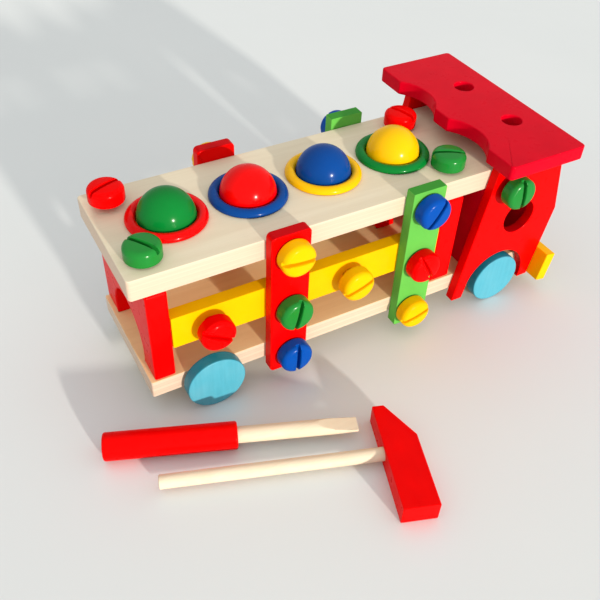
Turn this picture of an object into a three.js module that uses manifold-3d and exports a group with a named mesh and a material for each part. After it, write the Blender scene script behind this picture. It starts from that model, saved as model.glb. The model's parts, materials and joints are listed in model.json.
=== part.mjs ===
// Toy workbench in the shape of a truck: two boards on end panels, balls to hammer through collars,
// strips and rails held by slotted wooden screws, a cab, two wheelsets, a hammer and a screwdriver.
// Millimetres. The truck points along +X, its near side is -Y, and +Z is up from the floor.

import * as THREE from 'three';
import { mergeVertices } from 'three/addons/utils/BufferGeometryUtils.js';
import Module from 'manifold-3d';

const wasm = await Module();
wasm.setup();

// ---- driving dimensions ----
const GAP = 0.3;                 // clearance between pieces that touch
const TRUCK_W = 113.5;           // width of both boards
const HALF_W = TRUCK_W / 2;
const WHEEL_R = 24.8;
const AXLE_Z = WHEEL_R;
const AXLE_R = 2.8;
const AXLE_IN_BASE = 5;          // axle centre above the base's underside
const BASE_Z = AXLE_Z - AXLE_IN_BASE;
const BASE_T = 16.4;
const BASE_X = [7.5, 382];
const BAY_H = 89;                // clear height between the two boards
const TOP_Z = BASE_Z + BASE_T + BAY_H;
const TOP_T = 18.5;
const TOP_FACE = TOP_Z + TOP_T;
const TOP_X = [0, 372];

const REAR_PANEL_X = [11, 28];   // end panels between the boards
const FRONT_PANEL_X = [272.5, 293];
const ARCH_R = 32.5;             // round opening, cut off by the panel's lower edge
const ARCH_RISE = 10.6;          // its centre above that edge

const BALL_R = 22.5;
const BALL_START = 52;
const BALL_PITCH = 67.75;
const BALL_X = [0, 1, 2, 3].map((i) => BALL_START + i * BALL_PITCH);
const BALL_RELIEF_R = 23.5;      // groove down the front panel that lets the last ball drop past it
const BALL_RISE = 2.3;           // ball centre above the top board
const COLLAR_BORE_R = 22.95;
const COLLAR_SLEEVE_R = 25.3;
const COLLAR_FLANGE_R = 31.8;
const COLLAR_FLANGE_H = 5.4;
const COLLAR_EDGE = 1.2;          // straight part of the flange's rim, below its rounded crown
const COLLAR_DEPTH = 13;
const COLLAR_SIDES = 26;

const STRIP_T = 10;
const RED_STRIP = {
  x: { near: 106, far: 101.5 }, w: 33.5, low: -9.8, high: { near: 7.5, far: 11.5 }, corner: 4,
};
const GREEN_STRIP = {
  x: { near: 230.6, far: 228.5 }, w: 31.6, low: -9.9, high: { near: 7.8, far: 10 }, corner: 0.6,
};
const RAIL_T = 11.6;             // yellow rails between the end panels
const RAIL_H = 30.4;
const RAIL_Z = BASE_Z + 46.4;

const HEAD_R = 14.3;             // slotted wooden screws
const HEAD_H = 12.5;
const HEAD_ROUND = 3.4;
const SHANK_R = 5;
const SHANK_L = 30;
const SHANK_HOLE_SIDES = 12;
const SLOT_W = 2.6;
const SLOT_D = 4;
const STRIP_STANDOFF = 1.2;      // how far a head stands off what it clamps
const RAIL_STANDOFF = 7.8;
const CAB_STANDOFF = 4.8;

const CAB_T = 9.2;
const CAB_OUT = HALF_W + GAP + CAB_T;
const CAB_FRONT_T = 6;           // the wall that closes the cab in front of the boards
const CAB_BACK_X = [313.5, 325]; // the wall between the boards behind the cab's rear edge
const ROOF_T = 12.5;
const ROOF_FACE = BASE_Z + 151.2;
const ROOF_X = [302, 378.4];
const ROOF_HALF_W = 93;
const SCALLOP_Y = 36;
const SCALLOP_HALF = 26.8;
const SCALLOP_DEPTH = 11;
const ROOF_HOLE = { x: 349.5, y: [-34.4, 31], r: 8.7 };
const BUMPER = { t: 10.5, h: 30, halfW: 80, rise: 1 };

const WHEEL_X = [57, 341];
const WHEEL_T = 11;
const WHEEL_GAP = 2.5;
const WHEEL_SOCKET = 8;          // blind bore in the wheel's inner face, for the axle's end

const HAMMER_AT = { x: 145.1, y: -179.95, turn: -18.9 };
const HAMMER_HEAD = { w: 28.5, face: 55, peen: 40, knee: 8.5, tip: 9.7, t: 18 };
const HAMMER_HANDLE = { r: 5.5, l: 170, inset: 0.5 };
const DRIVER_AT = { x: -42, y: -77.65, turn: -20.9 };
const DRIVER_HANDLE = { r: 11, l: 102 };
const DRIVER_SHAFT = { r: 6.6, out: 94.5, socket: 30, blade: 30, tipT: 2.4 };

// the middle of the whole set's footprint, which becomes the origin
const FOOTPRINT_CENTRE = { x: 178.2, y: -74.1 };

const COLOURS = {
  red: 0xd90f12, crimson: 0xc90a1c, green: 0x1f9a3c, lightGreen: 0x6fc95c, blue: 0x0f4fa8,
  yellow: 0xf8d20a, wheel: 0x63c3dc, ply: 0xe9d9b8, dowel: 0xe8cfa6,
};

// ---- helpers ----
function paint(colour) {
  return new THREE.MeshStandardMaterial({ color: COLOURS[colour], roughness: 0.3, metalness: 0 });
}

function bareWood(colour) {
  return new THREE.MeshStandardMaterial({ color: COLOURS[colour], roughness: 0.7, metalness: 0 });
}

function toSolid(geometry) {
  const bare = geometry.clone();
  bare.deleteAttribute('normal');
  bare.deleteAttribute('uv');
  const merged = mergeVertices(bare, 1e-4);
  return new wasm.Manifold(new wasm.Mesh({
    numProp: 3,
    vertProperties: new Float32Array(merged.attributes.position.array),
    triVerts: new Uint32Array(merged.index.array),
  }));
}

function toGeometry(solid) {
  const mesh = solid.getMesh();
  const geometry = new THREE.BufferGeometry();
  geometry.setAttribute('position', new THREE.BufferAttribute(mesh.vertProperties, 3));
  geometry.setIndex(new THREE.BufferAttribute(mesh.triVerts, 1));
  geometry.computeVertexNormals();
  return geometry;
}

function cut(geometry, ...tools) {
  let solid = toSolid(geometry);
  for (const tool of tools) {
    solid = solid.subtract(toSolid(tool));
  }
  return toGeometry(solid);
}

function piece(name, geometry, material) {
  const mesh = new THREE.Mesh(geometry, material);
  mesh.name = name;
  return mesh;
}

function box(x, y, z) {
  const geometry = new THREE.BoxGeometry(x[1] - x[0], y[1] - y[0], z[1] - z[0]);
  geometry.translate((x[0] + x[1]) / 2, (y[0] + y[1]) / 2, (z[0] + z[1]) / 2);
  return geometry;
}

// a round bar from one end to the other along +X, +Y or +Z
function rod(axis, radius, from, to, at, sides = 20) {
  const geometry = new THREE.CylinderGeometry(radius, radius, to - from, sides);
  const middle = (from + to) / 2;
  if (axis === 'x') {
    geometry.rotateZ(-Math.PI / 2);
    geometry.translate(middle, at[0], at[1]);
  } else if (axis === 'y') {
    geometry.translate(at[0], middle, at[1]);
  } else {
    geometry.rotateX(Math.PI / 2);
    geometry.translate(at[0], at[1], middle);
  }
  return geometry;
}

// a solid turned about +Z from a profile of [radius, height] points
function turned(profile, sides) {
  const points = profile.map(([r, z]) => new THREE.Vector2(r, z));
  const geometry = new THREE.LatheGeometry(points, sides);
  geometry.rotateX(Math.PI / 2);
  return geometry;
}

// a board standing up: an outline in X and Z, with its thickness along Y starting at y
function uprightBoard(shape, y, thickness, curveSegments = 10) {
  const geometry = new THREE.ExtrudeGeometry(shape, { depth: thickness, bevelEnabled: false, curveSegments });
  geometry.rotateX(Math.PI / 2);
  geometry.translate(0, y + thickness, 0);
  return geometry;
}

// a board lying flat: an outline in X and Y, with its thickness along Z starting at z
function flatBoard(shape, z, thickness, curveSegments = 10) {
  const geometry = new THREE.ExtrudeGeometry(shape, { depth: thickness, bevelEnabled: false, curveSegments });
  geometry.translate(0, 0, z);
  return geometry;
}

function roundedRectangle(x, y, corner) {
  const shape = new THREE.Shape();
  shape.moveTo(x[0] + corner, y[0]);
  shape.lineTo(x[1] - corner, y[0]);
  shape.absarc(x[1] - corner, y[0] + corner, corner, -Math.PI / 2, 0, false);
  shape.absarc(x[1] - corner, y[1] - corner, corner, 0, Math.PI / 2, false);
  shape.absarc(x[0] + corner, y[1] - corner, corner, Math.PI / 2, Math.PI, false);
  shape.absarc(x[0] + corner, y[0] + corner, corner, Math.PI, 1.5 * Math.PI, false);
  shape.closePath();
  return shape;
}

// ---- screws: where each one goes, which way its head faces, and how its slot is turned ----
const TOP_SCREW_Y = 36.5;
const TOP_SCREW_X = [20, 286];
const MIDDLE_SCREW_RISE = 12.6;  // above the rails' lower edge
const STRIP_SCREW_Z = [TOP_Z + TOP_T / 2, RAIL_Z + MIDDLE_SCREW_RISE, BASE_Z + BASE_T / 2];
const RAIL_SCREW_X = [59, 182.5];
const RAIL_SCREW_Z = RAIL_Z + RAIL_H / 2;
const CAB_SCREW = { x: { near: 333.4, far: 336 }, z: { near: TOP_Z + 3.2, far: TOP_Z + 4.4 }, slot: 96 };

const [REAR_X, FRONT_X] = TOP_SCREW_X;
const TOP_SCREWS = [
  { name: 'rear_near', colour: 'green', at: [REAR_X, -TOP_SCREW_Y], stands: 1.2, slot: -56 },
  { name: 'rear_far', colour: 'red', at: [REAR_X - 1.7, TOP_SCREW_Y], stands: 4.2, slot: 20 },
  { name: 'front_near', colour: 'green', at: [FRONT_X, -TOP_SCREW_Y], stands: 1.8, slot: -28 },
  { name: 'front_far', colour: 'red', at: [FRONT_X + 1.2, TOP_SCREW_Y], stands: 1.6, slot: -72 },
];
const SCREWS = TOP_SCREWS.map((screw) => ({ ...screw, name: `screw_top_${screw.name}`, facing: 'up' }));

const STRIP_COLOURS = [['yellow', 'green', 'blue'], ['blue', 'red', 'yellow']];
const STRIP_SLOTS = [[-5, 78, 88], [57, -62, 15]];
const LEVELS = ['top', 'middle', 'bottom'];
const STRIPS = [{ name: 'rear_strip', size: RED_STRIP }, { name: 'front_strip', size: GREEN_STRIP }];
// how far a screw sits off its strip's middle line and its board's, for the near strips: [along, up]
const STRIP_SCREW_OFF = [[[0.7, -1.6], [1.2, -1.6], [2.4, 0]], [[0, 0], [0, 0], [-2.4, -1.2]]];
const RAIL_SCREWS = [['rear', 'red', -32], ['front', 'yellow', 20]];

for (const side of ['near', 'far']) {
  STRIPS.forEach(({ name, size }, s) => {
    LEVELS.forEach((level, i) => {
      const [along, up] = side === 'near' ? STRIP_SCREW_OFF[s][i] : [0, 0];
      SCREWS.push({
        name: `screw_${name}_${side}_${level}`,
        colour: STRIP_COLOURS[s][i],
        facing: side,
        at: [size.x[side] + size.w / 2 + along, STRIP_SCREW_Z[i] + up],
        out: HALF_W + GAP + STRIP_T + STRIP_STANDOFF,
        slot: STRIP_SLOTS[s][i],
      });
    });
  });
  RAIL_SCREWS.forEach(([end, colour, slot], i) => {
    SCREWS.push({
      name: `screw_rail_${side}_${end}`,
      colour,
      facing: side,
      at: [RAIL_SCREW_X[i], RAIL_SCREW_Z],
      out: HALF_W + RAIL_STANDOFF,
      slot,
    });
  });
  SCREWS.push({
    name: `screw_cab_${side}`,
    colour: 'green',
    facing: side,
    at: [CAB_SCREW.x[side], CAB_SCREW.z[side]],
    out: CAB_OUT + CAB_STANDOFF,
    slot: CAB_SCREW.slot,
  });
}

function screwGeometry() {
  const cornerSteps = 2;
  const profile = [[0, -SHANK_L], [SHANK_R, -SHANK_L], [SHANK_R, 0], [HEAD_R, 0]];
  for (let i = 0; i <= cornerSteps; i += 1) {
    const turn = (i / cornerSteps) * (Math.PI / 2);
    const r = HEAD_R - HEAD_ROUND * (1 - Math.cos(turn));
    profile.push([r, HEAD_H - HEAD_ROUND * (1 - Math.sin(turn))]);
  }
  profile.push([0, HEAD_H]);
  const slot = box([-HEAD_R - 1, HEAD_R + 1], [-SLOT_W / 2, SLOT_W / 2], [HEAD_H - SLOT_D, HEAD_H + 1]);
  return cut(turned(profile, 16), slot);
}

// the clearance hole for a screw's shank, along the same line as the screw
function shankHole(screw) {
  const radius = SHANK_R + GAP;
  const depth = SHANK_L + 1;
  if (screw.facing === 'up') {
    return rod('z', radius, TOP_FACE - depth, TOP_FACE + 1, screw.at, SHANK_HOLE_SIDES);
  }
  const near = screw.facing === 'near';
  const inner = screw.out - depth;
  return rod('y', radius, near ? -screw.out : inner, near ? -inner : screw.out, screw.at, SHANK_HOLE_SIDES);
}

function holesFor(pattern) {
  return SCREWS.filter((screw) => pattern.test(screw.name)).map((screw) => shankHole(screw));
}

function placeScrew(screw, shared) {
  const mesh = piece(screw.name, shared, paint(screw.colour));
  const slot = THREE.MathUtils.degToRad(screw.slot);
  const holder = new THREE.Group();
  mesh.rotation.z = slot;
  if (screw.facing === 'up') {
    holder.position.set(screw.at[0], screw.at[1], TOP_FACE + GAP + screw.stands);
  } else {
    const near = screw.facing === 'near';
    holder.position.set(screw.at[0], near ? -screw.out : screw.out, screw.at[1]);
    holder.rotation.x = near ? Math.PI / 2 : -Math.PI / 2;
  }
  holder.add(mesh);
  return holder;
}

// ---- boards and panels ----
function baseBoard() {
  const board = flatBoard(roundedRectangle(BASE_X, [-HALF_W, HALF_W], 1.5), BASE_Z, BASE_T, 3);
  const bores = WHEEL_X.map((x) => rod('y', AXLE_R + GAP, -HALF_W - 1, HALF_W + 1, [x, AXLE_Z]));
  return piece('base_board', cut(board, ...bores, ...holesFor(/strip_.*_bottom/)), bareWood('ply'));
}

function topBoard() {
  const board = flatBoard(roundedRectangle(TOP_X, [-HALF_W, HALF_W], 2.5), TOP_Z, TOP_T, 3);
  const z = [TOP_Z - 1, TOP_FACE + 1];
  const seats = BALL_X.map((x) => rod('z', COLLAR_SLEEVE_R + GAP, z[0], z[1], [x, 0], COLLAR_SIDES));
  const holes = [...holesFor(/screw_top_/), ...holesFor(/strip_.*_top/), ...holesFor(/screw_cab/)];
  return piece('top_board', cut(board, ...seats, ...holes), bareWood('ply'));
}

function endPanel(name, x) {
  const z = [BASE_Z + BASE_T + GAP, TOP_Z - GAP];
  const board = box(x, [-HALF_W, HALF_W], z);
  const arch = rod('x', ARCH_R, x[0] - 1, x[1] + 1, [0, z[0] + ARCH_RISE], 40);
  const relief = rod('z', BALL_RELIEF_R, z[0] - 1, z[1] + 1, [BALL_X[3], 0], 40);
  return piece(name, cut(board, arch, relief, ...holesFor(/screw_top_/)), paint('red'));
}

function rail(side) {
  const outer = side === 'near' ? -HALF_W : HALF_W - RAIL_T;
  const x = [REAR_PANEL_X[1] + GAP, FRONT_PANEL_X[0] - GAP];
  const bar = box(x, [outer, outer + RAIL_T], [RAIL_Z, RAIL_Z + RAIL_H]);
  const holes = [...holesFor(new RegExp(`screw_rail_${side}`)), ...holesFor(new RegExp(`${side}_middle`))];
  return piece(`rail_${side}`, cut(bar, ...holes), paint('yellow'));
}

function strip(name, colour, size, side) {
  const x = [size.x[side], size.x[side] + size.w];
  const z = [BASE_Z + size.low, TOP_FACE + size.high[side]];
  const y = side === 'near' ? -HALF_W - GAP - STRIP_T : HALF_W + GAP;
  const board = uprightBoard(roundedRectangle(x, z, size.corner), y, STRIP_T, 4);
  return piece(`${name}_${side}`, cut(board, ...holesFor(new RegExp(`${name}_${side}`))), paint(colour));
}

// ---- collars and balls ----
function collarGeometry() {
  const crown = [];
  const steps = 6;
  const crownMid = (COLLAR_BORE_R + COLLAR_FLANGE_R) / 2;
  const crownHalf = (COLLAR_FLANGE_R - COLLAR_BORE_R) / 2;
  const crownH = COLLAR_FLANGE_H - COLLAR_EDGE;
  for (let i = 0; i <= steps; i += 1) {
    const turn = (i / steps) * Math.PI;
    crown.push([crownMid + crownHalf * Math.cos(turn), COLLAR_EDGE + crownH * Math.sin(turn)]);
  }
  const profile = [
    [COLLAR_BORE_R, -COLLAR_DEPTH], [COLLAR_SLEEVE_R, -COLLAR_DEPTH], [COLLAR_SLEEVE_R, GAP],
    [COLLAR_FLANGE_R, GAP], ...crown, [COLLAR_BORE_R, -COLLAR_DEPTH],
  ];
  return turned(profile, COLLAR_SIDES);
}

function collar(name, colour, x, shared) {
  const mesh = piece(name, shared, paint(colour));
  mesh.position.set(x, 0, TOP_FACE);
  return mesh;
}

function ball(name, colour, x) {
  const mesh = piece(name, new THREE.SphereGeometry(BALL_R, 20, 12), paint(colour));
  mesh.rotation.x = Math.PI / 2;
  mesh.position.set(x, 0, TOP_FACE + BALL_RISE);
  return mesh;
}

// ---- wheels ----
function wheelGeometry() {
  const round = 0.9;
  const socketR = AXLE_R + GAP;
  return turned([
    [0, WHEEL_SOCKET], [socketR, WHEEL_SOCKET], [socketR, 0], [WHEEL_R - round, 0], [WHEEL_R, round],
    [WHEEL_R, WHEEL_T - round], [WHEEL_R - round, WHEEL_T], [0, WHEEL_T],
  ], 30);
}

function wheel(name, x, side, shared) {
  const mesh = piece(name, shared, paint('wheel'));
  const out = HALF_W + WHEEL_GAP;
  mesh.rotation.x = side === 'near' ? Math.PI / 2 : -Math.PI / 2;
  mesh.position.set(x, side === 'near' ? -out : out, AXLE_Z);
  return mesh;
}

function axle(name, x) {
  const end = HALF_W + WHEEL_GAP + WHEEL_SOCKET - GAP;
  return piece(name, rod('y', AXLE_R, -end, end, [x, AXLE_Z], 16), bareWood('dowel'));
}

// ---- cab ----
const CAB_ARCH_LEAN = 0.1;       // the arch starts this far past level, above the foot's edge
const CAB = {
  foot: [295.5, 307], footZ: -8.6, arch: { x: 342.4, z: 0.6, r: 33 }, toe: [373.9, 386],
  brow: [398.8, 66], frontTop: 385.4, rearTop: 319, window: { x: 354, z: 70, r: 16.5 },
};
const FAR_CAB_SHIFT = -6;        // the far side sits a little further back than the near one

function cabSide(side) {
  const roofUnder = ROOF_FACE - ROOF_T - GAP - BASE_Z;
  const { foot, footZ, arch, toe, brow, window } = CAB;
  const shape = new THREE.Shape();
  shape.moveTo(foot[0], footZ);
  shape.lineTo(foot[1], footZ);
  const start = Math.PI - CAB_ARCH_LEAN;
  const end = Math.atan2(footZ - arch.z, toe[0] - arch.x);
  shape.absarc(arch.x, arch.z, arch.r, start, end, true);
  shape.lineTo(toe[1], footZ);
  shape.lineTo(brow[0], brow[1]);
  shape.lineTo(CAB.frontTop, roofUnder);
  shape.lineTo(CAB.rearTop, roofUnder);
  shape.closePath();
  const opening = new THREE.Path();
  opening.absarc(window.x, window.z, window.r, 0, 2 * Math.PI, true);
  shape.holes.push(opening);
  const board = uprightBoard(shape, side === 'near' ? -CAB_OUT : HALF_W + GAP, CAB_T, 24);
  board.translate(side === 'near' ? 0 : FAR_CAB_SHIFT, 0, BASE_Z);
  const solid = cut(board, ...holesFor(new RegExp(`screw_cab_${side}`)));
  return piece(`cab_side_${side}`, solid, paint('crimson'));
}

function cabFront() {
  const x = TOP_X[1] + GAP;
  const z = [BASE_Z + BASE_T + GAP, ROOF_FACE - ROOF_T - GAP];
  return piece('cab_front', box([x, x + CAB_FRONT_T], [-HALF_W, HALF_W], z), paint('crimson'));
}

function cabBack() {
  const z = [BASE_Z + BASE_T + GAP, TOP_Z - GAP];
  return piece('cab_back', box(CAB_BACK_X, [-HALF_W, HALF_W], z), paint('crimson'));
}

function roof() {
  const outline = roundedRectangle(ROOF_X, [-ROOF_HALF_W, ROOF_HALF_W], 3);
  const board = flatBoard(outline, ROOF_FACE - ROOF_T, ROOF_T, 4);
  const z = [ROOF_FACE - ROOF_T - 1, ROOF_FACE + 1];
  const scallopR = (SCALLOP_HALF ** 2 + SCALLOP_DEPTH ** 2) / (2 * SCALLOP_DEPTH);
  const scallopX = ROOF_X[0] + SCALLOP_DEPTH - scallopR;
  const scallops = [-SCALLOP_Y, SCALLOP_Y].map((y) => rod('z', scallopR, z[0], z[1], [scallopX, y], 64));
  const holes = ROOF_HOLE.y.map((y) => rod('z', ROOF_HOLE.r, z[0], z[1], [ROOF_HOLE.x, y], 20));
  return piece('cab_roof', cut(board, ...scallops, ...holes), paint('crimson'));
}

function bumper() {
  const lean = Math.atan2(CAB.brow[0] - CAB.toe[1], CAB.brow[1] - CAB.footZ);
  const board = new THREE.BoxGeometry(BUMPER.t, 2 * BUMPER.halfW, BUMPER.h);
  board.translate(BUMPER.t / 2 + GAP, 0, BUMPER.h / 2 + BUMPER.rise);
  board.rotateY(lean);
  board.translate(CAB.toe[1], 0, BASE_Z + CAB.footZ);
  return piece('bumper', board, paint('yellow'));
}

// ---- hammer and screwdriver, lying on the floor ----
function hammer() {
  const { w, face, peen, knee, tip, t } = HAMMER_HEAD;
  const shape = new THREE.Shape();
  shape.moveTo(0, -face);
  shape.lineTo(w, -face);
  shape.lineTo(w, knee);
  shape.lineTo(tip, peen);
  shape.lineTo(0, peen);
  shape.closePath();
  const socket = rod('x', HAMMER_HANDLE.r + GAP, -1, w + 1, [0, t / 2]);
  const head = piece('hammer_head', cut(flatBoard(shape, 0, t), socket), paint('red'));
  const stick = rod('x', HAMMER_HANDLE.r, -HAMMER_HANDLE.l, w - HAMMER_HANDLE.inset, [0, t / 2]);
  const tool = new THREE.Group();
  tool.add(head, piece('hammer_handle', stick, bareWood('dowel')));
  tool.position.set(HAMMER_AT.x, HAMMER_AT.y, 0);
  tool.rotation.z = THREE.MathUtils.degToRad(HAMMER_AT.turn);
  return tool;
}

function screwdriver() {
  const round = 1.2;
  const { r, l } = DRIVER_HANDLE;
  const shaft = DRIVER_SHAFT;
  const grip = turned([
    [0, 0], [r - round, 0], [r, round], [r, l - round], [r - round, l], [shaft.r + GAP, l],
    [shaft.r + GAP, l - shaft.socket], [0, l - shaft.socket],
  ], 28);
  grip.rotateY(Math.PI / 2);
  const from = l - shaft.socket + GAP;
  const to = l + shaft.out;
  const stick = rod('x', shaft.r, from, to, [0, 0], 24);
  const slope = Math.atan2(shaft.r - shaft.tipT / 2, shaft.blade);
  const reach = 2 * shaft.blade;
  const flats = [-1, 1].map((s) => {
    const wedge = new THREE.BoxGeometry(reach, 4 * shaft.r, 2 * shaft.r);
    wedge.translate(0, 0, s * shaft.r);
    wedge.rotateY(s * slope);
    wedge.translate(to, 0, (s * shaft.tipT) / 2);
    return wedge;
  });
  const tool = new THREE.Group();
  tool.add(piece('driver_handle', grip, paint('red')));
  tool.add(piece('driver_shaft', cut(stick, ...flats), bareWood('dowel')));
  tool.position.set(DRIVER_AT.x, DRIVER_AT.y, r);
  tool.rotation.z = THREE.MathUtils.degToRad(DRIVER_AT.turn);
  return tool;
}

// ---- assembly ----
const COLLAR_COLOURS = ['red', 'blue', 'yellow', 'green'];
const BALL_COLOURS = ['green', 'red', 'blue', 'yellow'];

const group = new THREE.Group();
const truck = new THREE.Group();
truck.add(baseBoard(), topBoard());
truck.add(endPanel('rear_panel', REAR_PANEL_X), endPanel('front_panel', FRONT_PANEL_X));
for (const side of ['near', 'far']) {
  truck.add(rail(side));
  truck.add(strip('rear_strip', 'red', RED_STRIP, side));
  truck.add(strip('front_strip', 'lightGreen', GREEN_STRIP, side));
  truck.add(cabSide(side));
}
truck.add(cabFront(), cabBack(), roof(), bumper());

const collarShape = collarGeometry();
BALL_X.forEach((x, i) => {
  truck.add(collar(`collar_${i + 1}`, COLLAR_COLOURS[i], x, collarShape));
  truck.add(ball(`ball_${i + 1}`, BALL_COLOURS[i], x));
});

const wheelShape = wheelGeometry();
['rear', 'front'].forEach((end, i) => {
  truck.add(axle(`axle_${end}`, WHEEL_X[i]));
  truck.add(wheel(`wheel_${end}_near`, WHEEL_X[i], 'near', wheelShape));
  truck.add(wheel(`wheel_${end}_far`, WHEEL_X[i], 'far', wheelShape));
});

const screwShape = screwGeometry();
truck.add(...SCREWS.map((screw) => placeScrew(screw, screwShape)));

group.add(truck, hammer(), screwdriver());
group.position.set(-FOOTPRINT_CENTRE.x, -FOOTPRINT_CENTRE.y, 0);

export default group;
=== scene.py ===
import json
import math

import bmesh
import bpy
from mathutils import Euler, Matrix, Vector


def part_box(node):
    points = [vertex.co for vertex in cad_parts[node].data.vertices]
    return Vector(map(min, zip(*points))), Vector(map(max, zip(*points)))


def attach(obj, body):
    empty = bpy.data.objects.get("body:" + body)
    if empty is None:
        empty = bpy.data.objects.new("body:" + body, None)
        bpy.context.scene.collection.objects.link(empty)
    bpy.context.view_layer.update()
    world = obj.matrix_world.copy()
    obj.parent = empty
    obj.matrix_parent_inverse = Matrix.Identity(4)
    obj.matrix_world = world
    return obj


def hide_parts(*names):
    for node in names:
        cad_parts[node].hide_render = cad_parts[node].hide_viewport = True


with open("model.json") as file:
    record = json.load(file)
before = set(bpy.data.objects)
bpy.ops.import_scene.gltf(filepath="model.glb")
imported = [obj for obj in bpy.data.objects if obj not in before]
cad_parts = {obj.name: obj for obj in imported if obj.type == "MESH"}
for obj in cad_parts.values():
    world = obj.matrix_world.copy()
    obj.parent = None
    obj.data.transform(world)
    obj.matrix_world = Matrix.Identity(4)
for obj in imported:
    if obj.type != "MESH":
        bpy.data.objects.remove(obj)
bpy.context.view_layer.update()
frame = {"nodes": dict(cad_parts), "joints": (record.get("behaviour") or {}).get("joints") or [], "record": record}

RECORD = frame["record"]
BODY = {node: body for body, nodes in RECORD["behaviour"]["bodies"].items() for node in nodes}
JOINT = {joint["child"]: joint for joint in frame["joints"]}

# ---- sizes, in metres ----
MM = 0.001
GAP = 0.3 * MM                    # clearance between pieces that touch
PAST = 1 * MM                     # how far a cutting tool goes past what it cuts

FLAT_SIDES = 9                    # a face with at least this many sides is flat, with cuts in it

SHANK_R = 5 * MM                  # slotted wooden screws
SHANK_L = 30 * MM
HEAD_H = 12.5 * MM
HEAD_ROUND = 4.4 * MM
HEAD_DOME = 0.7 * MM              # rise of the head's middle above its rounded rim
SLOT_W = 3.2 * MM
SLOT_D = 4.8 * MM
THREAD_PITCH = 4.4 * MM
THREAD_DEPTH = 0.8 * MM

COLLAR_BORE_R = 22.95 * MM
COLLAR_SLEEVE_R = 25.3 * MM
COLLAR_DEPTH = 13 * MM
COLLAR_FLANGE_H = 5.4 * MM
COLLAR_PEAK_R = 26.6 * MM         # where the flange's crown is highest

ARCH_R = 32.5 * MM                # round opening in the end panels, cut off by their lower edge
ARCH_RISE = 10.6 * MM
BALL_RELIEF_R = 23.5 * MM         # groove down the front panel that the last ball drops past
AXLE_R = 2.8 * MM
WHEEL_SOCKET = 8 * MM

SCALLOP_Y = 36 * MM               # the two thumb scallops in the roof's rear edge
SCALLOP_HALF = 26.8 * MM
SCALLOP_DEPTH = 11 * MM
ROOF_HOLE_X = 47.5 * MM           # from the roof's rear edge
ROOF_HOLE_Y = (-34.4 * MM, 31 * MM)
ROOF_HOLE_R = 8.7 * MM

# a cab side, measured from its lowest rear corner
CAB_FOOT = 11.5 * MM
CAB_ARCH = (46.9 * MM, 9.2 * MM, 33 * MM)           # along, up, radius
CAB_ARCH_LEAN = 0.1                                 # radians above level where the arch starts
CAB_TOE = (78.4 * MM, 90.5 * MM)
CAB_BROW = 74.6 * MM                                # height of the foremost corner
CAB_TOP = (23.5 * MM, 89.9 * MM)
CAB_WINDOW = (58.5 * MM, 78.6 * MM, 16.5 * MM)      # along, up, radius
BUMPER = (10.5 * MM, 30 * MM, 1 * MM)               # thickness, height, rise above the cab's foot

# the tools: where each one lies and its turn; w width, t thickness, r radius, l length
HAMMER_PLACE = (Vector((-33.1, -105.85, 0)) * MM, math.radians(-18.9))
HAMMER_HEAD = {
    "w": 28.5 * MM, "t": 18 * MM, "face": 55 * MM, "peen": 40 * MM, "knee": 8.5 * MM, "tip": 9.7 * MM,
}
HAMMER_HANDLE = {"r": 5.5 * MM, "l": 170 * MM, "inset": 0.5 * MM}
DRIVER_PLACE = (Vector((-220.2, -3.55, 11)) * MM, math.radians(-20.9))
DRIVER_HANDLE = {"r": 11 * MM, "l": 102 * MM}
DRIVER_SHAFT = {"r": 6.6 * MM, "out": 94.5 * MM, "socket": 30 * MM, "blade": 32 * MM, "tip": 2.4 * MM}

# each screw's colour, and how far its slot is turned, in degrees from the truck's length
SCREW_LOOK = {
    "top_rear_near": ("green", -56), "top_rear_far": ("red", 20),
    "top_front_near": ("green", -28), "top_front_far": ("red", -72),
    "rear_strip_top": ("yellow", -5), "rear_strip_middle": ("green", 78), "rear_strip_bottom": ("blue", 88),
    "front_strip_top": ("blue", 57), "front_strip_middle": ("red", -62), "front_strip_bottom": ("yellow", 15),
    "rail_rear": ("red", -32), "rail_front": ("yellow", 20), "cab": ("green", 96),
}

# ---- colours, linear, then light and camera ----
RED = (0.82, 0.0006, 0.0006)
RED_ENDS_PAINTED_SHADE = (0.52, 0.0006, 0.003)            # painted shade: the deeper red laid on faces that look up or down
CRIMSON = (0.66, 0.0004, 0.014)
GREEN = (0.002, 0.19, 0.028)
SCREW_GREEN = (0.010, 0.22, 0.028)
LEAF = (0.12, 0.46, 0.07)
# painted shade: the deeper green laid on faces that look up or down
LEAF_ENDS_PAINTED_SHADE = (0.045, 0.27, 0.032)
BLUE = (0.0008, 0.052, 0.26)
SCREW_BLUE = (0.0008, 0.068, 0.38)
YELLOW = (0.90, 0.49, 0.001)
TEAL = (0.075, 0.38, 0.50)
TEAL_RIM = (0.006, 0.23, 0.33)
TEAL_SCUFF = (0.55, 0.75, 0.78)
CHIPPED = (0.86, 0.74, 0.60)                # the wood under a chip in the paint
TOP_WOOD = ((0.80, 0.71, 0.54), (0.745, 0.645, 0.475))     # light and dark grain
# the base board's faces: wood tone warmed by painted bounce light from the red and yellow parts
BASE_WOOD_AND_PAINTED_BOUNCE = ((0.95, 0.69, 0.38), (0.88, 0.61, 0.31))
EDGE_WOOD = ((0.73, 0.57, 0.435), (0.68, 0.52, 0.385))
DOWEL_WOOD = ((0.82, 0.70, 0.53), (0.74, 0.61, 0.44))
TABLE = ((0.715, 0.748, 0.76), (0.745, 0.775, 0.785))
ROOM_LIGHT = (0.97, 0.975, 0.955, 1)
ROOM_STRENGTH = 0.845
SUN_LIGHT = (1.0, 0.93, 0.83)
SUN_STRENGTH = 3.5
SUN_SPREAD = 2.5                            # degrees
SUN_HEIGHT = 12.2                           # degrees above the floor
SUN_TOWARDS = (0.085, -0.996)               # on the floor, from the truck towards the sun

CAMERA_AT = (-0.27158, -0.37385, 0.4932)
CAMERA_TURN = (47.059, -1.943, -28.758)     # degrees
CAMERA_LENS = 45.97


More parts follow.
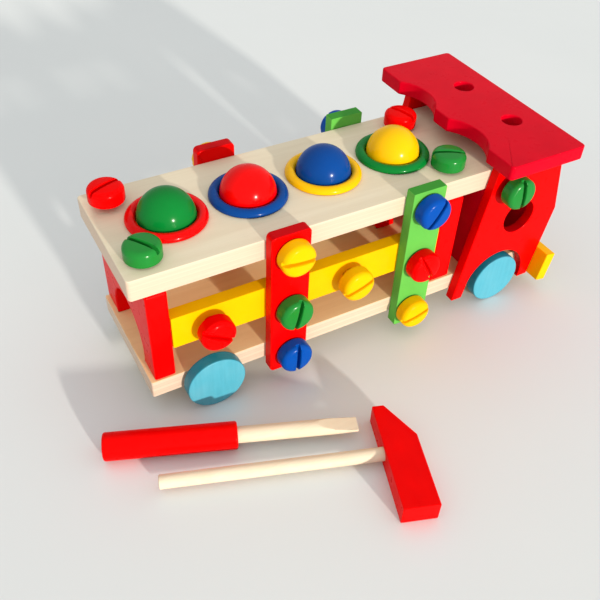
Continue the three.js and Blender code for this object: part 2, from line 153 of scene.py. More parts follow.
# ---- mesh helpers ----
def arc(cx, cy, r, start, end, steps):
    """Points on an arc, from one angle to another in radians."""
    return [(cx + r * math.cos(start + (end - start) * i / steps),
             cy + r * math.sin(start + (end - start) * i / steps)) for i in range(steps + 1)]


def circle(cx, cy, r, sides=72):
    return arc(cx, cy, r, 0, 2 * math.pi, sides)[:-1]


def rounded_rectangle(x, y, corner, steps=8):
    """x and y are spans. With 1 step the corners are chamfers, for corners as small as their easing."""
    quarter = math.pi / 2
    corners = [(x[1] - corner, y[0] + corner, -1), (x[1] - corner, y[1] - corner, 0),
               (x[0] + corner, y[1] - corner, 1), (x[0] + corner, y[0] + corner, 2)]
    return [p for cx, cy, q in corners for p in arc(cx, cy, corner, q * quarter, (q + 1) * quarter, steps)]


def prism(outline, span, axis):
    """A closed solid: a 2-D outline swept from span[0] to span[1] along x, y or z."""
    third = "xyz".index(axis)
    bm = bmesh.new()
    rings = [[bm.verts.new((*point[:third], w, *point[third:])) for point in outline] for w in span]
    bm.faces.new(rings[0])
    bm.faces.new(rings[1])
    count = len(outline)
    for i in range(count):
        j = (i + 1) % count
        bm.faces.new((rings[0][i], rings[0][j], rings[1][j], rings[1][i]))
    bmesh.ops.recalc_face_normals(bm, faces=bm.faces)
    return to_mesh(bm)


def turned(profile, sides=72, shift=None):
    """A closed solid turned about z from [radius, height] points; a radius of 0 is on the axis.
    shift(angle, radius, height) gives a changed radius, as for a thread."""
    bm = bmesh.new()
    rings = []
    for r, z in profile:
        if r == 0:
            rings.append([bm.verts.new((0, 0, z))])
            continue
        ring = []
        for i in range(sides):
            angle = 2 * math.pi * i / sides
            radius = shift(angle, r, z) if shift else r
            ring.append(bm.verts.new((radius * math.cos(angle), radius * math.sin(angle), z)))
        rings.append(ring)
    closed = len(rings[0]) > 1
    pairs = list(zip(rings, rings[1:])) + ([(rings[-1], rings[0])] if closed else [])
    for a, b in pairs:
        for i in range(sides):
            j = (i + 1) % sides
            corners = [a[i % len(a)], a[j % len(a)], b[j % len(b)], b[i % len(b)]]
            bm.faces.new(list(dict.fromkeys(corners)))
    bmesh.ops.recalc_face_normals(bm, faces=bm.faces)
    return to_mesh(bm)


def to_mesh(bm):
    mesh = bpy.data.meshes.new("shape")
    bm.to_mesh(mesh)
    bm.free()
    return mesh


def moved(mesh, matrix):
    mesh.transform(matrix)
    return mesh


def rod(axis, radius, span, at, sides=48):
    """A round bar along an axis; at is its centre in the other two axes, in order."""
    return prism(circle(at[0], at[1], radius, sides), span, axis)


def scratch(mesh):
    """A short-lived object that modifiers can work on."""
    obj = bpy.data.objects.new("scratch", mesh)
    bpy.context.scene.collection.objects.link(obj)
    return obj


def evaluated(obj):
    """The object's mesh with its modifiers applied; the object itself is removed."""
    graph = bpy.context.evaluated_depsgraph_get()
    mesh = bpy.data.meshes.new_from_object(obj.evaluated_get(graph))
    bpy.data.objects.remove(obj)
    return mesh


def combined(mesh, other, operation):
    """An exact boolean of two meshes."""
    obj = scratch(mesh)
    partner = scratch(other)
    modifier = obj.modifiers.new("combine", "BOOLEAN")
    modifier.operation = operation
    modifier.solver = "EXACT"
    modifier.object = partner
    mesh = evaluated(obj)
    bpy.data.objects.remove(partner)
    return mesh


def cut(mesh, *tools):
    for tool in tools:
        mesh = combined(mesh, tool, "DIFFERENCE")
    return mesh


def tidied(mesh, keep=0.02 * MM):
    """Welds the slivers that a cut can leave."""
    bm = bmesh.new()
    bm.from_mesh(mesh)
    bmesh.ops.remove_doubles(bm, verts=bm.verts, dist=keep)
    bmesh.ops.dissolve_degenerate(bm, edges=bm.edges, dist=keep)
    return to_mesh(bm)


def eased(mesh, width, segments=3, angle=32):
    """Rounds every hard edge, as sanding and paint do."""
    obj = scratch(tidied(mesh))
    bevel = obj.modifiers.new("ease", "BEVEL")
    bevel.width = width
    bevel.segments = segments
    bevel.limit_method = "ANGLE"
    bevel.angle_limit = math.radians(angle)
    bevel.use_clamp_overlap = False
    bevel.miter_outer = "MITER_ARC"
    return evaluated(obj)


def piece(node, mesh, material):
    """The finished form of a CAD node: it stands for the node and rides on its body."""
    bm = bmesh.new()
    bm.from_mesh(mesh)
    for face in bm.faces:
        face.smooth = len(face.verts) < FLAT_SIDES
    flats = [face for face in bm.faces if not face.smooth]
    bmesh.ops.triangulate(bm, faces=flats, ngon_method="BEAUTY")
    bm.to_mesh(mesh)
    bm.free()
    mesh.materials.clear()
    mesh.materials.append(material)
    obj = bpy.data.objects.new(f"{node}_finished", mesh)
    bpy.context.scene.collection.objects.link(obj)
    normals = obj.modifiers.new("normals", "WEIGHTED_NORMAL")
    normals.weight = 100
    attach(obj, BODY[node])
    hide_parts(node)
    return obj


# ---- material helpers ----
class Nodes:
    """A short way to write a node tree."""

    def __init__(self, name):
        self.material = bpy.data.materials.new(name)
        self.material.use_nodes = True
        self.tree = self.material.node_tree
        self.tree.nodes.clear()
        self.shader = self.add("ShaderNodeBsdfPrincipled")
        out = self.add("ShaderNodeOutputMaterial")
        self.link(self.shader.outputs["BSDF"], out.inputs["Surface"])
        self.place = self.add("ShaderNodeTexCoord")

    def add(self, kind, **settings):
        node = self.tree.nodes.new(kind)
        for key, value in settings.items():
            setattr(node, key, value)
        return node

    def link(self, source, target):
        if isinstance(source, bpy.types.NodeSocket):
            self.tree.links.new(source, target)
        else:
            target.default_value = source

    def mapped(self, scale=(1, 1, 1), turn=(0, 0, 0)):
        node = self.add("ShaderNodeMapping")
        node.inputs["Scale"].default_value = scale
        node.inputs["Rotation"].default_value = turn
        self.link(self.place.outputs["Object"], node.inputs["Vector"])
        return node.outputs["Vector"]

    def noise(self, vector, scale=1.0, detail=3.0, roughness=0.55, distortion=0.0):
        node = self.add("ShaderNodeTexNoise")
        self.link(vector, node.inputs["Vector"])
        node.inputs["Scale"].default_value = scale
        node.inputs["Detail"].default_value = detail
        node.inputs["Roughness"].default_value = roughness
        node.inputs["Distortion"].default_value = distortion
        return node.outputs["Fac"]

    def ramp(self, value, stops):
        """stops: (position, grey or colour)."""
        node = self.add("ShaderNodeValToRGB")
        self.link(value, node.inputs["Fac"])
        elements = node.color_ramp.elements
        while len(elements) < len(stops):
            elements.new(0.5)
        for element, (position, tone) in zip(elements, stops):
            element.position = position
            element.color = (*tone, 1) if isinstance(tone, tuple) else (tone, tone, tone, 1)
        return node.outputs["Color"]

    def math(self, operation, a, b=0.0, c=0.0, clamp=False):
        node = self.add("ShaderNodeMath", operation=operation, use_clamp=clamp)
        for socket, value in zip(node.inputs, (a, b, c)):
            self.link(value, socket)
        return node.outputs["Value"]

    def mix(self, share, a, b, blend="MIX"):
        node = self.add("ShaderNodeMix", data_type="RGBA", blend_type=blend)
        self.link(share, node.inputs[0])
        self.link((*a, 1) if isinstance(a, tuple) else a, node.inputs[6])
        self.link((*b, 1) if isinstance(b, tuple) else b, node.inputs[7])
        return node.outputs[2]

    def bump(self, height, strength, distance):
        node = self.add("ShaderNodeBump")
        node.inputs["Strength"].default_value = strength
        node.inputs["Distance"].default_value = distance
        self.link(height, node.inputs["Height"])
        return node.outputs["Normal"]

    def edges(self, radius):
        """0 on flats, towards 1 on outside and inside edges."""
        bevel = self.add("ShaderNodeBevel", samples=4)
        bevel.inputs["Radius"].default_value = radius
        geometry = self.add("ShaderNodeNewGeometry")
        dot = self.add("ShaderNodeVectorMath", operation="DOT_PRODUCT")
        self.link(bevel.outputs["Normal"], dot.inputs[0])
        self.link(geometry.outputs["Normal"], dot.inputs[1])
        return self.math("SUBTRACT", 1.0, dot.outputs["Value"], clamp=True)

    def upright(self):
        """1 on level faces, 0 on upright ones."""
        split = self.add("ShaderNodeSeparateXYZ")
        self.link(self.place.outputs["Normal"], split.inputs[0])
        return self.math("ABSOLUTE", split.outputs["Z"])

    def shine(self, specular, coat, coat_roughness):
        self.shader.inputs["Specular IOR Level"].default_value = specular
        self.shader.inputs["Coat Weight"].default_value = coat
        self.shader.inputs["Coat Roughness"].default_value = coat_roughness


def shade(colour, factor):
    return tuple(min(1.0, c * factor) for c in colour)


def paint(name, colour, roughness=0.3, coat=0.05, coat_roughness=0.12, grain="x", wear=0.1, ends=None,
          lumps=0):
    """Gloss paint over wood: slight unevenness, the grain showing through, and lighter edges from thinner paint
    and a painted highlight.

    wear: how much of the paint is chipped along edges.
    ends: painted shade, a deeper colour laid on faces that look up or down.
    lumps: how unevenly a thick coat has set.
    """
    n = Nodes(name)
    along = {"x": (18, 420, 420), "y": (420, 18, 420), "z": (420, 420, 18)}[grain]
    cloud = n.noise(n.mapped(), 38, 3)
    grain_height = n.noise(n.mapped(along), 1.0, 4, 0.6)
    peel = n.noise(n.mapped(), 620, 2)
    tone = n.ramp(cloud, [(0.3, shade(colour, 0.94)), (0.7, shade(colour, 1.04))])
    tone = n.mix(n.ramp(grain_height, [(0.55, 0.0), (0.8, 0.06)]), tone, shade(colour, 0.8))
    # painted shade: faces that look up or down take the deeper colour
    if ends:
        tone = n.mix(n.ramp(n.upright(), [(0.6, 0.0), (0.85, 1.0)]), tone, ends)
    edge = n.edges(1.2 * MM)
    # lighter edges: thinner paint, and a painted highlight standing for the glint along edges
    tone = n.mix(n.ramp(edge, [(0.02, 0.0), (0.30, 0.14)]), tone, shade(colour, 1.2))
    specks = n.ramp(n.noise(n.mapped(), 330, 4, 0.7), [(0.70, 0.0), (0.74, 1.0)])
    chips = n.math("MULTIPLY", n.ramp(edge, [(0.08, 0.0), (0.16, wear)]), specks, clamp=True)
    tone = n.mix(chips, tone, CHIPPED)
    n.link(tone, n.shader.inputs["Base Color"])
    rough = n.ramp(n.noise(n.mapped(), 120, 3), [(0.3, roughness * 0.85), (0.7, roughness * 1.2)])
    n.link(rough, n.shader.inputs["Roughness"])
    height = n.math("MULTIPLY_ADD", grain_height, 0.6, n.math("MULTIPLY", peel, 0.4))
    if lumps:
        height = n.math("MULTIPLY_ADD", n.noise(n.mapped(), 170, 2), 5 * lumps, height)
    n.link(n.bump(height, 0.3, 0.1 * MM), n.shader.inputs["Normal"])
    n.shine(0.02, coat, coat_roughness)
    return n.material


def plastic(name, colour):
    """Moulded gloss plastic: even colour, faint flow marks and a soft sheen."""
    n = Nodes(name)
    flow = n.noise(n.mapped((60, 60, 260)), 1.0, 2, 0.5, 1.2)
    tone = n.ramp(flow, [(0.3, shade(colour, 0.93)), (0.75, shade(colour, 1.05))])
    n.link(tone, n.shader.inputs["Base Color"])
    n.link(n.ramp(n.noise(n.mapped(), 260, 3), [(0.3, 0.2), (0.7, 0.3)]), n.shader.inputs["Roughness"])
    n.link(n.bump(n.noise(n.mapped(), 90, 2), 0.3, 0.12 * MM), n.shader.inputs["Normal"])
    n.shine(0.06, 0.12, 0.1)
    return n.material


def wood_tone(n, turn, wood, figure):
    """Grain along x after the turn: broad figure, fine streaks, short dark pores."""
    light, dark = wood
    middle = tuple((a + b) / 2 for a, b in zip(light, dark))
    broad = n.noise(n.mapped((figure, figure * 12, figure * 12), turn), 1.0, 4, 0.55, 0.8)
    streak = n.noise(n.mapped((14, 900, 900), turn), 1.0, 3, 0.6)
    pore = n.noise(n.mapped((90, 1700, 1700), turn), 1.0, 2, 0.5)
    tone = n.ramp(broad, [(0.28, dark), (0.5, middle), (0.72, light)])
    tone = n.mix(n.ramp(streak, [(0.42, 0.0), (0.72, 0.14)]), tone, shade(dark, 0.88))
    tone = n.mix(n.ramp(pore, [(0.66, 0.0), (0.74, 0.18)]), tone, shade(dark, 0.70))
    return tone, streak, pore


def finish_wood(n, tone, streak, pore, depth):
    """Open grain: streaks stand up and pores sink in, by up to depth."""
    n.link(tone, n.shader.inputs["Base Color"])
    n.link(n.ramp(streak, [(0.3, 0.5), (0.7, 0.68)]), n.shader.inputs["Roughness"])
    height = n.math("SUBTRACT", n.math("MULTIPLY", streak, 0.6), n.math("MULTIPLY", pore, 0.4))
    n.link(n.bump(height, 0.4, depth), n.shader.inputs["Normal"])
    n.shine(0.25, 0.04, 0.35)
    return n.material


def plywood(name, wood, bottom, ply, contrast):
    """Sanded plywood: long grain on the faces, and plies with thin glue lines on the edges.

    bottom and ply: the height of the board's underside, and the thickness of one ply.
    contrast: how far the plies and the glue lines stand out.
    """
    n = Nodes(name)
    tone, streak, pore = wood_tone(n, (0, 0, 0), wood, 7)
    split = n.add("ShaderNodeSeparateXYZ")
    n.link(n.place.outputs["Object"], split.inputs[0])
    facing = n.add("ShaderNodeSeparateXYZ")
    n.link(n.place.outputs["Normal"], facing.inputs[0])
    side = n.ramp(n.math("ABSOLUTE", facing.outputs["Z"]), [(0.35, 1.0), (0.75, 0.0)])
    wander = n.math("MULTIPLY", n.noise(n.mapped((22, 22, 60)), 1.0, 3), 0.5 * MM)
    level = n.math("DIVIDE", n.math("ADD", n.math("SUBTRACT", split.outputs["Z"], bottom), wander), ply)
    part = n.math("FRACT", level)
    cross = n.math("PINGPONG", n.math("FLOOR", level), 1.0)
    layer = n.math("MULTIPLY", cross, contrast, clamp=True)
    glue = n.ramp(part, [(0.0, 0.8), (0.08, 0.0), (0.92, 0.0), (1.0, 0.8)])
    edge_tone = n.ramp(streak, [(0.3, EDGE_WOOD[1]), (0.7, EDGE_WOOD[0])])
    edge_tone = n.mix(layer, edge_tone, shade(EDGE_WOOD[1], 0.93))
    edge_tone = n.mix(n.math("MULTIPLY", glue, contrast, clamp=True), edge_tone, shade(EDGE_WOOD[1], 0.58))
    tone = n.mix(side, tone, edge_tone)
    return finish_wood(n, tone, streak, pore, 0.12 * MM)


def bare_wood(name, turn=(0, 0, 0)):
    """Sanded dowel, with its grain along x after the turn."""
    n = Nodes(name)
    tone, streak, pore = wood_tone(n, turn, DOWEL_WOOD, 9)
    return finish_wood(n, tone, streak, pore, 0.15 * MM)


def wheel_paint(name):
    """Light satin face and a darker rim."""
    n = Nodes(name)
    facing = n.add("ShaderNodeSeparateXYZ")
    n.link(n.place.outputs["Normal"], facing.inputs[0])
    face = n.ramp(n.math("ABSOLUTE", facing.outputs["Y"]), [(0.45, 0.0), (0.85, 1.0)])
    cloud = n.noise(n.mapped((420, 420, 30)), 1.0, 4)
    tone = n.mix(face, TEAL_RIM, TEAL)
    tone = n.mix(n.ramp(cloud, [(0.4, 0.0), (0.8, 0.16)]), tone, shade(TEAL, 0.8), "MULTIPLY")
    tone = n.mix(n.ramp(n.noise(n.mapped(), 55, 3), [(0.4, 0.0), (0.8, 0.06)]), tone, TEAL_SCUFF)
    n.link(tone, n.shader.inputs["Base Color"])
    n.link(n.ramp(cloud, [(0.3, 0.32), (0.7, 0.46)]), n.shader.inputs["Roughness"])
    n.link(n.bump(cloud, 0.25, 0.1 * MM), n.shader.inputs["Normal"])
    n.shine(0.15, 0.08, 0.2)
    return n.material


base_lo, base_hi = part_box("base_board")
top_lo, top_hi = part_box("top_board")
PAINT = {
    "red": paint("red_gloss", RED),
    "crimson": paint("crimson_gloss", CRIMSON, wear=0.0),
    "green": paint("green_gloss", SCREW_GREEN, coat=0.4, coat_roughness=0.18, lumps=0.9),
    "leaf": paint("leaf_gloss", LEAF, roughness=0.38, grain="z", ends=LEAF_ENDS_PAINTED_SHADE),
    "blue": paint("blue_gloss", SCREW_BLUE, coat=0.14, coat_roughness=0.16, lumps=0.5),
    "yellow": paint("yellow_gloss", YELLOW),
    "upright_red": paint("upright_red_gloss", RED, grain="z", ends=RED_ENDS_PAINTED_SHADE),
}
TOY_COLOURS = {"red": RED, "green": GREEN, "blue": BLUE, "yellow": YELLOW}
BALL_PAINT = {name: paint(f"ball_{name}", colour, coat=0.22, coat_roughness=0.17, wear=0.0)
              for name, colour in TOY_COLOURS.items()}
PLASTIC = {name: plastic(f"{name}_plastic_gloss", colour) for name, colour in TOY_COLOURS.items()}
BASE_PLIES, TOP_PLIES = 5, 9
# the base board's faces carry painted warm bounce light
BASE_PLY = plywood("base_plywood", BASE_WOOD_AND_PAINTED_BOUNCE, base_lo.z, (base_hi.z - base_lo.z) / BASE_PLIES, 0.7)
TOP_PLY = plywood("top_plywood", TOP_WOOD, top_lo.z, (top_hi.z - top_lo.z) / TOP_PLIES, 0.3)
WHEEL = wheel_paint("wheel_satin")


# ---- screws ----
def screw_look(node):
    """A screw's colour and slot turn: its own, or those of the pair that it belongs to."""
    name = node.replace("screw_", "")
    return SCREW_LOOK[name if name in SCREW_LOOK else name.replace("_near", "").replace("_far", "")]


def screw_place(node):
    """Where a screw's head sits: +z points out of the head, and +x lies along the slot."""
    axis = Vector(JOINT[node]["axis"])
    lo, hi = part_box(node)
    middle = (lo + hi) / 2
    turn = Matrix.Rotation(math.radians(screw_look(node)[1]), 4, "Z")
    if axis.z > 0.5:
        return Matrix.Translation((middle.x, middle.y, hi.z - HEAD_H)) @ turn
    face = lo.y + HEAD_H if axis.y < 0 else hi.y - HEAD_H
    tip = Matrix.Rotation(math.pi / 2 if axis.y < 0 else -math.pi / 2, 4, "X")
    return Matrix.Translation((middle.x, face, middle.z)) @ tip @ turn


def screw_mesh(head_r):
    """A fat turned head with a rounded rim and an eased slot, on a coarsely threaded shank."""
    rim = arc(head_r - HEAD_ROUND, HEAD_H - HEAD_ROUND, HEAD_ROUND, 0, math.pi / 2, 8)
    under = [(head_r - 0.8 * MM, 0), (head_r - 0.2 * MM, 0.25 * MM), (head_r, 0.9 * MM)]
    crown = [(head_r * 0.35, HEAD_H + 0.75 * HEAD_DOME), (0, HEAD_H + HEAD_DOME)]
    head = turned([(0, 0.0), (SHANK_R - 1 * MM, 0.0), *under, *rim, *crown], 64)
    half = SLOT_W / 2
    floor = HEAD_H - SLOT_D
    groove = [(half * 0.8, floor), (half, floor + 0.5 * MM), (half, HEAD_H - 0.9 * MM),
              (half + 0.9 * MM, HEAD_H + 2 * MM)]
    outline = groove + [(-x, z) for x, z in reversed(groove)]
    tool = prism(outline, (-2 * head_r, 2 * head_r), "x")
    head = eased(cut(head, tool), 0.35 * MM, 2, 38)

    def thread(angle, radius, height):
        if height > -1.5 * MM or height < -SHANK_L + 1 * MM:
            return radius
        wave = (height / THREAD_PITCH - angle / (2 * math.pi)) % 1.0
        return radius - THREAD_DEPTH * (1 - abs(2 * wave - 1)) ** 0.8

    steps = 46
    side = [(SHANK_R, -SHANK_L + 1 * MM + (SHANK_L - 1 * MM) * i / steps) for i in range(steps + 1)]
    shank = turned([(0, -SHANK_L), (SHANK_R - 1.2 * MM, -SHANK_L), *side, (0, 0.3 * MM)], 32, thread)
    return combined(head, shank, "UNION")


SCREWS = sorted(node for node in frame["nodes"] if node.startswith("screw_"))


def screws():
    lo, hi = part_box(SCREWS[0])
    pattern = screw_mesh((hi.x - lo.x) / 2)
    for node in SCREWS:
        colour, _ = screw_look(node)
        piece(node, moved(pattern.copy(), screw_place(node)), PAINT[colour])


def shank_holes(node):
    """A clearance hole for every screw that goes into this board."""
    lo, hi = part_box(node)
    tools = []
    for screw in SCREWS:
        place = screw_place(screw)
        outside = place @ Vector((0, 0, -0.1 * MM))
        tip = place @ Vector((0, 0, -SHANK_L))
        reach = [(min(a, b) - SHANK_R, max(a, b) + SHANK_R) for a, b in zip(outside, tip)]
        if all(span[0] < top and span[1] > low for span, low, top in zip(reach, lo, hi)):
            tool = prism(circle(0, 0, SHANK_R + GAP, 40), (-SHANK_L - PAST, 0.2 * MM), "z")
            tools.append(moved(tool, place))
    return tools


# ---- boards, panels, rails and strips ----
def boards():
    span = (base_lo.y - PAST, base_hi.y + PAST)
    axles = [(lo + hi) / 2 for lo, hi in (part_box("axle_rear"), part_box("axle_front"))]
    bores = [rod("y", AXLE_R + GAP, span, (axle.x, axle.z)) for axle in axles]
    outline = rounded_rectangle((base_lo.x, base_hi.x), (base_lo.y, base_hi.y), 1.5 * MM)
    base = cut(prism(outline, (base_lo.z, base_hi.z), "z"), *bores, *shank_holes("base_board"))
    piece("base_board", eased(base, 0.5 * MM), BASE_PLY)

    outline = rounded_rectangle((top_lo.x, top_hi.x), (top_lo.y, top_hi.y), 3 * MM)
    seats = []
    for i in range(1, 5):
        lo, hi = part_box(f"collar_{i}")
        centre = ((lo.x + hi.x) / 2, (lo.y + hi.y) / 2)
        seats.append(rod("z", COLLAR_SLEEVE_R + GAP, (top_lo.z - PAST, top_hi.z + PAST), centre, 96))
    top = cut(prism(outline, (top_lo.z, top_hi.z), "z"), *seats, *shank_holes("top_board"))
    piece("top_board", eased(top, 1.0 * MM), TOP_PLY)


def end_panel(node):
    lo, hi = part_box(node)
    middle = (lo.y + hi.y) / 2
    outline = rounded_rectangle((lo.y, hi.y), (lo.z, hi.z), 3 * MM)
    arch = rod("x", ARCH_R, (lo.x - PAST, hi.x + PAST), (middle, lo.z + ARCH_RISE), 96)
    ball_lo, ball_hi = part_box("ball_4")
    ball_axis = ((ball_lo.x + ball_hi.x) / 2, (ball_lo.y + ball_hi.y) / 2)
    relief = rod("z", BALL_RELIEF_R, (lo.z - PAST, hi.z + PAST), ball_axis, 96)
    panel = cut(prism(outline, (lo.x, hi.x), "x"), arch, relief, *shank_holes(node))
    piece(node, eased(panel, 1.6 * MM, 4), PAINT["upright_red"])


def rail(node):
    lo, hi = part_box(node)
    outline = rounded_rectangle((lo.x, hi.x), (lo.z, hi.z), 0.5 * MM, 1)
    bar = cut(prism(outline, (lo.y, hi.y), "y"), *shank_holes(node))
    piece(node, eased(bar, 0.5 * MM), PAINT["yellow"])


def strip(node, corner, ease, colour):
    lo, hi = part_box(node)
    outline = rounded_rectangle((lo.x, hi.x), (lo.z, hi.z), corner, 6 if corner > 2 * MM else 1)
    board = cut(prism(outline, (lo.y, hi.y), "y"), *shank_holes(node))
    piece(node, eased(board, ease, 4), PAINT[colour])


# ---- collars and balls ----
def collars():
    for i, colour in enumerate(("red", "blue", "yellow", "green"), 1):
        node = f"collar_{i}"
        lo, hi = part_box(node)
        flange_r = (hi.x - lo.x) / 2
        deck = top_hi.z
        foot = 1.0 * MM
        crown = []
        for k in range(19):
            a = math.pi * k / 18
            side = flange_r - COLLAR_PEAK_R if a < math.pi / 2 else COLLAR_PEAK_R - COLLAR_BORE_R
            height = foot + (COLLAR_FLANGE_H - foot) * math.sin(a) ** 0.9
            crown.append((COLLAR_PEAK_R + side * math.cos(a), deck + height))
        profile = [
            (COLLAR_BORE_R, deck - COLLAR_DEPTH + 0.4 * MM), (COLLAR_BORE_R + 0.4 * MM, deck - COLLAR_DEPTH),
            (COLLAR_SLEEVE_R - 0.4 * MM, deck - COLLAR_DEPTH),
            (COLLAR_SLEEVE_R, deck - COLLAR_DEPTH + 0.4 * MM),
            (COLLAR_SLEEVE_R, deck + GAP), (flange_r - 0.3 * MM, deck + GAP), *crown,
        ]
        mesh = turned(profile, 128)
        moved(mesh, Matrix.Translation(((lo.x + hi.x) / 2, (lo.y + hi.y) / 2, 0)))
        piece(node, mesh, PLASTIC[colour])


def balls():
    """Turned wooden balls, with the tiny flats that the lathe leaves at the two ends."""
    for i, colour in enumerate(("green", "red", "blue", "yellow"), 1):
        node = f"ball_{i}"
        lo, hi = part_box(node)
        radius = (hi.z - lo.z) / 2
        steps = 44
        first = 0.045
        angles = [first + (math.pi - 2 * first) * k / steps for k in range(steps + 1)]
        side = [(radius * math.sin(a), -radius * math.cos(a)) for a in angles]
        mesh = turned([(0, side[0][1]), *side, (0, side[-1][1])], 88)
        tilt = Euler((math.radians(70 + 14 * i), math.radians(25 * i), 0)).to_matrix().to_4x4()
        moved(mesh, Matrix.Translation((lo + hi) / 2) @ tilt)
        piece(node, mesh, BALL_PAINT[colour])


# ---- wheels and axles ----
def wheels():
    for end in ("rear", "front"):
        axle_lo, axle_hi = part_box(f"axle_{end}")
        centre = (axle_lo + axle_hi) / 2
        half = (axle_hi.y - axle_lo.y) / 2
        ease = 0.6 * MM
        dowel = turned([(0, -half), (AXLE_R - ease, -half), (AXLE_R, -half + ease),
                        (AXLE_R, half - ease), (AXLE_R - ease, half), (0, half)], 40)
        upright = Matrix.Translation(centre) @ Matrix.Rotation(math.pi / 2, 4, "X")
        piece(f"axle_{end}", moved(dowel, upright), bare_wood(f"axle_{end}_dowel", (0, 0, math.pi / 2)))
        for side in ("near", "far"):
            node = f"wheel_{end}_{side}"
            lo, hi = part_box(node)
            r = (hi.z - lo.z) / 2
            t = hi.y - lo.y
            round_r = 1.3 * MM
            corner = [(r - round_r + round_r * math.sin(a), t - round_r + round_r * math.cos(a))
                      for a in (math.pi / 2 * k / 5 for k in range(6))]
            back = [(a, t - z) for a, z in corner]
            socket = AXLE_R + GAP
            bore = [(0, WHEEL_SOCKET), (socket, WHEEL_SOCKET), (socket, 0)]
            profile = [*bore, *back, *reversed(corner), (0, t)]
            sign = 1 if side == "near" else -1
            inner = hi.y if side == "near" else lo.y
            place = Matrix.Translation(((lo.x + hi.x) / 2, inner, (lo.z + hi.z) / 2))
            mesh = moved(turned(profile, 96), place @ Matrix.Rotation(sign * math.pi / 2, 4, "X"))
            piece(node, mesh, WHEEL)


# ---- cab ----
def cab_side(node):
    lo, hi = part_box(node)
    x, z = lo.x, lo.z
    arch_x, arch_z, arch_r = CAB_ARCH
    start = math.pi - CAB_ARCH_LEAN
    end = math.atan2(-arch_z, CAB_TOE[0] - arch_x)
    outline = [(x, z), (x + CAB_FOOT, z)]
    outline += arc(x + arch_x, z + arch_z, arch_r, start, end, 40)
    outline += [(x + CAB_TOE[1], z), (hi.x, z + CAB_BROW)]
    outline += [(x + CAB_TOP[1], hi.z), (x + CAB_TOP[0], hi.z)]
    window_x, window_z, window_r = CAB_WINDOW
    window = rod("y", window_r, (lo.y - PAST, hi.y + PAST), (x + window_x, z + window_z), 80)
    board = cut(prism(outline, (lo.y, hi.y), "y"), window, *shank_holes(node))
    piece(node, eased(board, 0.9 * MM), PAINT["upright_red"])


def roof():
    lo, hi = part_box("cab_roof")
    middle = (lo.y + hi.y) / 2
    scallop_r = (SCALLOP_HALF ** 2 + SCALLOP_DEPTH ** 2) / (2 * SCALLOP_DEPTH)
    span = (lo.z - PAST, hi.z + PAST)
    tools = []
    for scallop_y, hole_y in zip((-SCALLOP_Y, SCALLOP_Y), ROOF_HOLE_Y):
        scallop_at = (lo.x + SCALLOP_DEPTH - scallop_r, middle + scallop_y)
        tools.append(rod("z", scallop_r, span, scallop_at, 180))
        tools.append(rod("z", ROOF_HOLE_R, span, (lo.x + ROOF_HOLE_X, middle + hole_y), 60))
    outline = rounded_rectangle((lo.x, hi.x), (lo.y, hi.y), 3.5 * MM)
    piece("cab_roof", eased(cut(prism(outline, (lo.z, hi.z), "z"), *tools), 1.0 * MM), PAINT["crimson"])


def cab_wall(node):
    lo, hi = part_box(node)
    wall = prism(rounded_rectangle((lo.y, hi.y), (lo.z, hi.z), 0.6 * MM, 1), (lo.x, hi.x), "x")
    piece(node, eased(wall, 0.6 * MM), PAINT["crimson"])


def bumper():
    lo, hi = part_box("bumper")
    cab_lo, cab_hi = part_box("cab_side_near")
    lean = math.atan2(cab_hi.x - cab_lo.x - CAB_TOE[1], CAB_BROW)
    thick, height, rise = BUMPER
    outline = rounded_rectangle((GAP, thick + GAP), (rise, rise + height), 1.0 * MM, 4)
    turn = Matrix.Rotation(-lean, 2)
    corner = Vector((cab_lo.x + CAB_TOE[1], cab_lo.z))
    points = [tuple(corner + turn @ Vector(p)) for p in outline]
    piece("bumper", eased(prism(points, (lo.y, hi.y), "y"), 0.8 * MM), PAINT["yellow"])


# ---- hammer and screwdriver ----
def placed(mesh, place):
    at, turn = place
    return moved(mesh, Matrix.Translation(at) @ Matrix.Rotation(turn, 4, "Z"))


def hammer():
    head = HAMMER_HEAD
    outline = [(0, -head["face"]), (head["w"], -head["face"]), (head["w"], head["knee"]),
               (head["tip"], head["peen"]), (0, head["peen"])]
    handle = HAMMER_HANDLE
    middle = head["t"] / 2
    socket = rod("x", handle["r"] + GAP, (-PAST, head["w"] + PAST), (0, middle))
    block = eased(cut(prism(outline, (0, head["t"]), "z"), socket), 1.0 * MM)
    piece("hammer_head", placed(block, HAMMER_PLACE), PAINT["red"])
    ease = 0.7 * MM
    r, reach = handle["r"], head["w"] - handle["inset"]
    profile = [(0, -handle["l"]), (r - ease, -handle["l"]), (r, -handle["l"] + ease),
               (r, reach - ease), (r - ease, reach), (0, reach)]
    along = Matrix.Translation((0, 0, middle)) @ Matrix.Rotation(math.pi / 2, 4, "Y")
    stick = moved(turned(profile, 56), along)
    piece("hammer_handle", placed(stick, HAMMER_PLACE), bare_wood("hammer_dowel", (0, 0, -HAMMER_PLACE[1])))


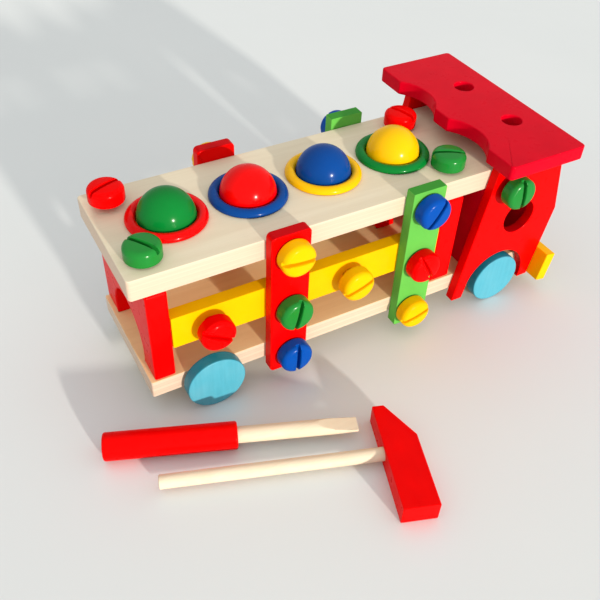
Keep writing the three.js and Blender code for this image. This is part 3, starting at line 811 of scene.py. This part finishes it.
def screwdriver():
    grip, shaft = DRIVER_HANDLE, DRIVER_SHAFT
    r, length = grip["r"], grip["l"]
    round_r = 2.0 * MM
    corner = [(r - round_r + round_r * math.sin(a), length - round_r + round_r * math.cos(a))
              for a in (math.pi / 2 * k / 6 for k in range(7))]
    butt = [(a, length - z) for a, z in corner]
    bore = shaft["r"] + GAP
    seat = length - shaft["socket"]
    profile = [(0, 0), *butt, *reversed(corner), (bore, length), (bore, seat), (0, seat)]
    along = Matrix.Rotation(math.pi / 2, 4, "Y")
    piece("driver_handle", placed(moved(turned(profile, 72), along), DRIVER_PLACE), PAINT["red"])

    start, end = seat + GAP, length + shaft["out"]
    rings = 60
    bm = bmesh.new()
    sides = 56
    previous = None
    for k in range(rings + 1):
        x = start + (end - start) * (k / rings) ** 0.8
        into = max(0.0, 1 - (end - x) / shaft["blade"])
        thick = shaft["r"] - (shaft["r"] - shaft["tip"] / 2) * math.sin(into * math.pi / 2) ** 0.9
        ring = []
        for i in range(sides):
            a = 2 * math.pi * i / sides
            y, z = shaft["r"] * math.cos(a), shaft["r"] * math.sin(a)
            ring.append(bm.verts.new((x, y, max(-thick, min(thick, z)))))
        if previous:
            for i in range(sides):
                j = (i + 1) % sides
                bm.faces.new((previous[i], previous[j], ring[j], ring[i]))
        else:
            bm.faces.new(ring)
        previous = ring
    bm.faces.new(previous)
    bmesh.ops.recalc_face_normals(bm, faces=bm.faces)
    mesh = to_mesh(bm)
    mesh = eased(mesh, 0.35 * MM, 2, 40)
    dowel = bare_wood("driver_dowel", (0, 0, -DRIVER_PLACE[1]))
    piece("driver_shaft", placed(mesh, DRIVER_PLACE), dowel)


screws()
boards()
end_panel("rear_panel")
end_panel("front_panel")
for side in ("near", "far"):
    rail(f"rail_{side}")
    strip(f"rear_strip_{side}", 4 * MM, 1.2 * MM, "upright_red")
    strip(f"front_strip_{side}", 0.8 * MM, 0.5 * MM, "leaf")
    cab_side(f"cab_side_{side}")
cab_wall("cab_front")
cab_wall("cab_back")
roof()
bumper()
collars()
balls()
wheels()
hammer()
screwdriver()


# ---- floor, light and camera ----
def floor():
    n = Nodes("pale_table")
    cloud = n.noise(n.mapped(), 2.2, 3)
    n.link(n.ramp(cloud, [(0.3, TABLE[0]), (0.7, TABLE[1])]), n.shader.inputs["Base Color"])
    n.link(n.ramp(n.noise(n.mapped(), 30, 2), [(0.3, 0.42), (0.7, 0.5)]), n.shader.inputs["Roughness"])
    half = 4.0
    bm = bmesh.new()
    bm.faces.new([bm.verts.new((x * half, y * half, 0)) for x, y in ((-1, -1), (1, -1), (1, 1), (-1, 1))])
    mesh = to_mesh(bm)
    mesh.materials.append(n.material)
    obj = bpy.data.objects.new("table_top", mesh)
    obj.location.z = -0.2 * MM
    bpy.context.scene.collection.objects.link(obj)


def lights():
    world = bpy.data.worlds.new("room")
    world.use_nodes = True
    background = world.node_tree.nodes["Background"]
    background.inputs["Color"].default_value = ROOM_LIGHT
    background.inputs["Strength"].default_value = ROOM_STRENGTH
    bpy.context.scene.world = world
    sun = bpy.data.lights.new("window", "SUN")
    sun.energy = SUN_STRENGTH
    sun.angle = math.radians(SUN_SPREAD)
    sun.color = SUN_LIGHT
    lamp = bpy.data.objects.new("window", sun)
    height = math.radians(SUN_HEIGHT)
    towards = Vector((*(share * math.cos(height) for share in SUN_TOWARDS), math.sin(height)))
    lamp.rotation_euler = towards.to_track_quat("Z", "Y").to_euler()
    bpy.context.scene.collection.objects.link(lamp)


def camera():
    data = bpy.data.cameras.new("camera")
    data.lens = CAMERA_LENS
    data.sensor_width = 36
    obj = bpy.data.objects.new("camera", data)
    obj.location = CAMERA_AT
    obj.rotation_euler = Euler([math.radians(a) for a in CAMERA_TURN])
    bpy.context.scene.collection.objects.link(obj)
    bpy.context.scene.camera = obj


floor()
lights()
camera()
bpy.context.scene.view_settings.view_transform = "Standard"
